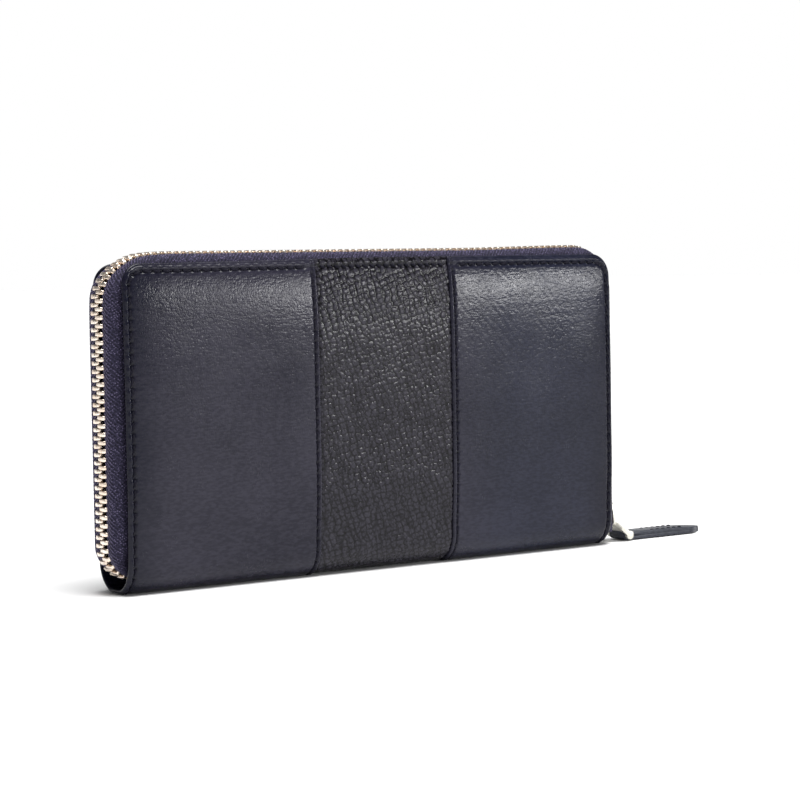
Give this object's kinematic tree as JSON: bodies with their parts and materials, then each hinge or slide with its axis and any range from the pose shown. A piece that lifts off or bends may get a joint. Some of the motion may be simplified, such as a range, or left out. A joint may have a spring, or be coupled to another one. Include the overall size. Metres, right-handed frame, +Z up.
{
  "type": "zip around wallet",
  "caption": "Long zip-around wallet in smooth leather with a pebbled centre stripe, metal zip, looped leather puller, card rows and a zipped coin pocket.",
  "frame": {"origin": "middle of the flat under the spine that the wallet stands on", "axes": "+X along the spine towards the zip's closed end, +Y from the front cover to the back cover, +Z up from the spine to the opening edge"},
  "size_m": [0.2439, 0.0206, 0.1045],
  "materials": {
    "smooth_leather": "satin, fine grain",
    "pebbled_leather": "coarse pebbled grain",
    "puller_leather": "satin",
    "card_leather": "fine grain",
    "lining": "woven lining",
    "board": "pressed fibre board",
    "zip_tape": "herringbone twill",
    "zip_metal": "pale polished",
    "slider_metal": "polished nickel",
    "thread": "waxed thread"
  },
  "bodies": {
    "spine": {"spine_leather_left": "smooth_leather", "spine_stripe": "pebbled_leather", "spine_leather_right": "smooth_leather", "spine_liner": "lining", "zip_end_tapes_left": "zip_tape", "zip_end_teeth_left": "zip_metal", "zip_end_tapes_right": "zip_tape", "zip_end_teeth_right": "zip_metal", "pocket_wall_front": "lining", "pocket_wall_back": "lining", "pocket_side_left": "lining", "pocket_side_right": "lining", "pocket_base": "lining", "pocket_zip_tape_front": "zip_tape", "pocket_zip_tape_back": "zip_tape", "pocket_zip_teeth": "zip_metal", "gusset_front_left": "lining", "gusset_front_right": "lining", "gusset_back_left": "lining", "gusset_back_right": "lining"},
    "front_cover": {"front_leather_left": "smooth_leather", "front_stripe": "pebbled_leather", "front_leather_right": "smooth_leather", "front_board": "board", "front_lining": "lining", "front_card_backing": "card_leather", "front_card_row_1": "card_leather", "front_card_row_2": "card_leather", "front_card_row_3": "card_leather", "front_card_row_4": "card_leather", "front_zip_tape": "zip_tape", "front_zip_teeth": "zip_metal"},
    "back_cover": {"back_leather_left": "smooth_leather", "back_stripe": "pebbled_leather", "back_leather_right": "smooth_leather", "back_board": "board", "back_lining": "lining", "back_card_backing": "card_leather", "back_card_row_1": "card_leather", "back_card_row_2": "card_leather", "back_card_row_3": "card_leather", "back_card_row_4": "card_leather", "back_zip_tape": "zip_tape", "back_zip_teeth": "zip_metal"},
    "slider": {"slider_body": "slider_metal", "slider_bridge": "slider_metal"},
    "pull_tab": {"pull_tab": "slider_metal"},
    "puller": {"puller_strap": "puller_leather"},
    "pocket_slider": {"pocket_slider": "slider_metal", "pocket_bridge": "slider_metal"},
    "pocket_pull": {"pocket_pull": "slider_metal"}
  },
  "joints": [
    {"name": "front_cover_open", "type": "hinge", "parent": "spine", "child": "front_cover", "pos_m": [0, -0.01025, 0.0098], "axis": [1, 0, 0], "range_deg": [0, 40], "deforming": ["front_zip_teeth", "back_zip_teeth", "gusset_front_left", "gusset_front_right", "gusset_back_left", "gusset_back_right", "zip_end_tapes_left", "zip_end_tapes_right", "zip_end_teeth_left", "zip_end_teeth_right"]},
    {"name": "back_cover_open", "type": "hinge", "parent": "spine", "child": "back_cover", "pos_m": [0, 0.01025, 0.0098], "axis": [-1, 0, 0], "range_deg": [0, 40]},
    {"name": "slider_run", "type": "slide", "parent": "back_cover", "child": "slider", "axis": [0, 0, 1], "range_m": [0, 0.075]},
    {"name": "pull_tab_swing", "type": "hinge", "parent": "slider", "child": "pull_tab", "pos_m": [0.1015, 0, 0.0066], "axis": [0, -1, 0], "range_deg": [-35, 70]},
    {"name": "puller_swing", "type": "hinge", "parent": "pull_tab", "child": "puller", "pos_m": [0.10702, 0, 0.00197], "axis": [0, -1, 0], "range_deg": [-125, 15]},
    {"name": "pocket_slider_run", "type": "slide", "parent": "spine", "child": "pocket_slider", "axis": [-1, 0, 0], "range_m": [0, 0.14], "deforming": ["pocket_zip_teeth"]},
    {"name": "pocket_pull_swing", "type": "hinge", "parent": "pocket_slider", "child": "pocket_pull", "pos_m": [0.07112, 0, 0.08941], "axis": [0, -1, 0], "range_deg": [0, 115]}
  ],
  "couplings": [
    {"joint": "back_cover_open", "follows": "front_cover_open", "ratio": 1}
  ]
}
